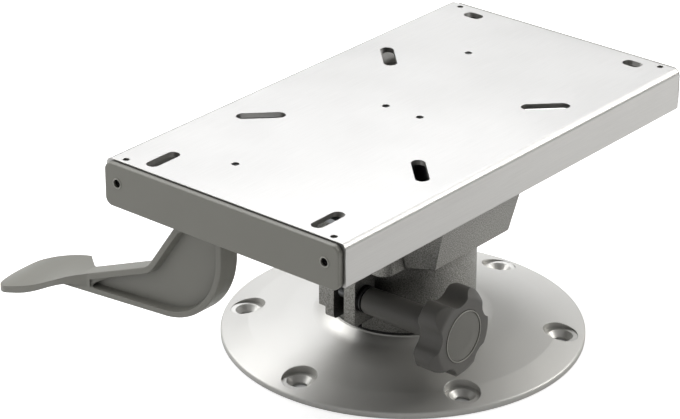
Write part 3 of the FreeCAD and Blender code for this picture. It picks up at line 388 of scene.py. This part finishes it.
def rim(name, centre, axis, radius, thickness, body):
    """Ring round an axis that is 'X' or 'Y', closed on itself."""
    made = bmesh.new()
    section = bmesh.ops.create_circle(made, segments=10, radius=thickness / 2)["verts"]
    bmesh.ops.rotate(made, verts=section, cent=(0, 0, 0),
                     matrix=Matrix.Rotation(math.pi / 2, 3, axis))
    bmesh.ops.translate(made, verts=section, vec=(centre[0], centre[1], centre[2] + radius))
    bmesh.ops.spin(made, geom=made.verts[:] + made.edges[:], cent=centre,
                   axis=(1, 0, 0) if axis == "X" else (0, 1, 0),
                   angle=math.tau, steps=64, use_merge=True)
    return finished(made, name, highlight_rim_plastic, body)


low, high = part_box("knob_cap")
rim("knob_cap_rim", (high[0] - KNOB_RIM_DEPTH, AXIS_Y, AXIS_Z), "X",
    high[2] - AXIS_Z + KNOB_RIM_MARGIN, KNOB_RIM, "knob")
for cap, face, _ in CAP_FACES:
    face_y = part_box(cap)[face][1]
    for side, x in (("_left", -CAP_SCREW_X), ("_right", CAP_SCREW_X)):
        rim(cap + side + "_hole_rim", (x, face_y, CAP_SCREW_Z), "Y", HOLE_RIM_RADIUS,
            HOLE_RIM, "carriage")

# %% [markdown]
# Each end cap sits on a thin moulded seal that closes most of the gap to the plate, so only a
# hairline shows. A flat square is scaled to the cap's outline, its corners are bevelled, an
# inset leaves a frame, and extruding the frame gives the seal its thickness.

# %% Seals under the end caps
SEAL_SETBACK = 0.00025
SEAL_WIDTH = 0.0016
SEAL_THICKNESS = 0.0006
SEAL_CORNER = 0.0048

for cap, face, outward in CAP_FACES:
    low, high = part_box(cap)
    plate_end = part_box("seat_plate")[face][1]
    width = high[0] - low[0] - 2 * SEAL_SETBACK
    height = high[2] - low[2] - 2 * SEAL_SETBACK
    seal = bmesh.new()
    # The size is half a side, so this square is one metre wide until it is scaled.
    bmesh.ops.create_grid(seal, x_segments=1, y_segments=1, size=0.5)
    bmesh.ops.scale(seal, vec=(width, height, 1), verts=seal.verts[:])
    bmesh.ops.rotate(seal, verts=seal.verts[:], cent=(0, 0, 0),
                     matrix=Matrix.Rotation(math.pi / 2, 3, "X"))
    bmesh.ops.translate(seal, verts=seal.verts[:],
                        vec=((low[0] + high[0]) / 2, plate_end, (low[2] + high[2]) / 2))
    bmesh.ops.bevel(seal, geom=seal.verts[:], offset=SEAL_CORNER, offset_type="OFFSET",
                    segments=6, profile=0.5, affect="VERTICES", material=-1)
    border = bmesh.ops.inset_region(seal, faces=seal.faces[:], thickness=SEAL_WIDTH,
                                    use_even_offset=True, use_boundary=True)["faces"]
    middle = [f for f in seal.faces if f not in border]
    bmesh.ops.delete(seal, geom=middle, context="FACES_ONLY")
    raised = bmesh.ops.extrude_face_region(seal, geom=seal.faces[:], use_keep_orig=True)["geom"]
    bmesh.ops.translate(seal, verts=[v for v in raised if isinstance(v, bmesh.types.BMVert)],
                        vec=(0, outward * SEAL_THICKNESS, 0))
    print(cap, "seal open edges", sum(not e.is_manifold for e in seal.edges))
    finished(seal, cap + "_seal", grey_plastic, "carriage")

# %% [markdown]
# The slide stands on a wide matt floor. It lies a hair below the base, because two faces in one
# plane flicker. To the camera it glows, so that it comes out white without more light on the
# object. Metal sees that glow much weaker, since the photograph's metal mirrors a dim room, and
# under the flange there is none, so the bolt holes look down into the dark.

# %% Floor
FLOOR_REACH = 12.0
FLOOR_DROP = 0.0002
FLOOR_GLOW = 0.7
MIRRORED_GLOW = 0.14
FLANGE_MARGIN = 0.002

floor_mesh = bpy.data.meshes.new("floor")
floor = bpy.data.objects.new("floor", floor_mesh)
bpy.context.scene.collection.objects.link(floor)
sheet = bmesh.new()
bmesh.ops.create_grid(sheet, x_segments=1, y_segments=1, size=FLOOR_REACH)
bmesh.ops.translate(sheet, verts=sheet.verts[:], vec=(0, 0, -FLOOR_DROP))
sheet.to_mesh(floor_mesh)
sheet.free()

# Matt wall paint: mirrors nothing, so it shows only the soft shadow, and painted shade within 4 mm
# of the base.
floor_paint = surface(
    "floor_paint", "#E4E4E4", "#E6E6E6", patch=400, metallic=0.0, roughness=0.9,
    spread=0.02, grain=4, depth=0.0)
floor_mesh.materials.append(floor_paint)
tree = floor_paint.node_tree
seen = add_node(tree, "ShaderNodeLightPath")
mirrored = add_node(tree, "ShaderNodeMath", {
    0: seen.outputs["Is Glossy Ray"], 1: seen.outputs["Is Transmission Ray"]}, operation="MAXIMUM")
mirrored = add_node(tree, "ShaderNodeMath", {
    0: mirrored.outputs[0], 1: MIRRORED_GLOW}, operation="MULTIPLY")
glow = add_node(tree, "ShaderNodeMath", {
    0: seen.outputs["Is Camera Ray"], 1: FLOOR_GLOW, 2: mirrored.outputs[0]},
    operation="MULTIPLY_ADD")
place = add_node(tree, "ShaderNodeTexCoord")
reach = add_node(tree, "ShaderNodeVectorMath", {0: place.outputs["Object"]}, operation="LENGTH")
flange_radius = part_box("base_casting")[1][0]
outside = add_node(tree, "ShaderNodeMath", {
    0: reach.outputs["Value"], 1: flange_radius - FLANGE_MARGIN}, operation="GREATER_THAN")
glow = add_node(tree, "ShaderNodeMath", {
    0: glow.outputs[0], 1: outside.outputs[0]}, operation="MULTIPLY")
shader = tree.nodes["Principled BSDF"]
shader.inputs["Emission Color"].default_value = (1, 1, 1, 1)
tree.links.new(glow.outputs[0], shader.inputs["Emission Strength"])
print("floor", 2 * FLOOR_REACH, "m wide")

# %% [markdown]
# The world is plain white to the camera. As a light, and as what the metal mirrors, it is a dim
# room that grows a little brighter towards its ceiling.

# %% World
ROOM_LEVEL = 0.2
CEILING_LEVEL = 0.32
ROOM_TOP = 0.2
CEILING_START = 0.5

world = bpy.data.worlds.new("studio")
bpy.context.scene.world = world
world.use_nodes = True
tree = world.node_tree
tree.nodes.clear()
look = add_node(tree, "ShaderNodeTexCoord")
upward = add_node(tree, "ShaderNodeSeparateXYZ", {"Vector": look.outputs["Generated"]})
level = add_node(tree, "ShaderNodeMapRange", {
    "Value": upward.outputs["Z"], "From Min": ROOM_TOP, "From Max": CEILING_START,
    "To Min": ROOM_LEVEL, "To Max": CEILING_LEVEL}, interpolation_type="SMOOTHSTEP")
seen = add_node(tree, "ShaderNodeLightPath")
level = add_node(tree, "ShaderNodeMath", {
    0: level.outputs[0], 1: seen.outputs["Is Camera Ray"]}, operation="MAXIMUM")
sky = add_node(tree, "ShaderNodeBackground", {
    "Color": (1, 1, 1, 1), "Strength": level.outputs[0]})
add_node(tree, "ShaderNodeOutputWorld", {"Surface": sky.outputs[0]})
print("room", ROOM_LEVEL, "to", CEILING_LEVEL)

# %% [markdown]
# Softboxes behind the object and to its left, and a weak one in front, give the light of the
# photograph: tops are pale, the long side of the plate is a step darker and the front is darker
# again. Their powers started from renders with one lamp at a time, added up to fit the
# photograph, and were then adjusted.

# %% Lamps
AIM = Vector((0, 0, 0.08))


def softbox(name, place, width, height, watts, tint="#FFFFFF"):
    """Area lamp that looks at the middle of the object."""
    data = bpy.data.lights.new(name, "AREA")
    data.shape = "RECTANGLE"
    data.size = width
    data.size_y = height
    data.energy = watts
    data.color = colour(tint)[:3]
    lamp = bpy.data.objects.new(name, data)
    bpy.context.scene.collection.objects.link(lamp)
    aim = AIM - Vector(place)
    facing = aim.to_track_quat("-Z", "Y").to_matrix().to_4x4()
    lamp.matrix_world = Matrix.Translation(place) @ facing
    print(name, "stands", round(aim.length, 2), "m away")


softbox("wall_glow", (-2.00, 2.20, 0.72), width=3.0, height=1.0, watts=6, tint="#FAFCFF")
softbox("far_left_softbox", (-1.30, 1.50, 2.20), width=1.2, height=1.2, watts=25, tint="#FAFBFF")
softbox("far_middle_softbox", (0.00, 1.95, 1.70), width=1.0, height=0.8, watts=8)
softbox("far_right_softbox", (1.30, 1.80, 1.50), width=1.0, height=1.0, watts=24, tint="#FFFDFA")
softbox("front_left_fill", (-1.80, -2.00, 1.10), width=1.4, height=1.0, watts=7)
softbox("left_softbox", (-2.00, -0.30, 2.00), width=1.4, height=1.4, watts=36)
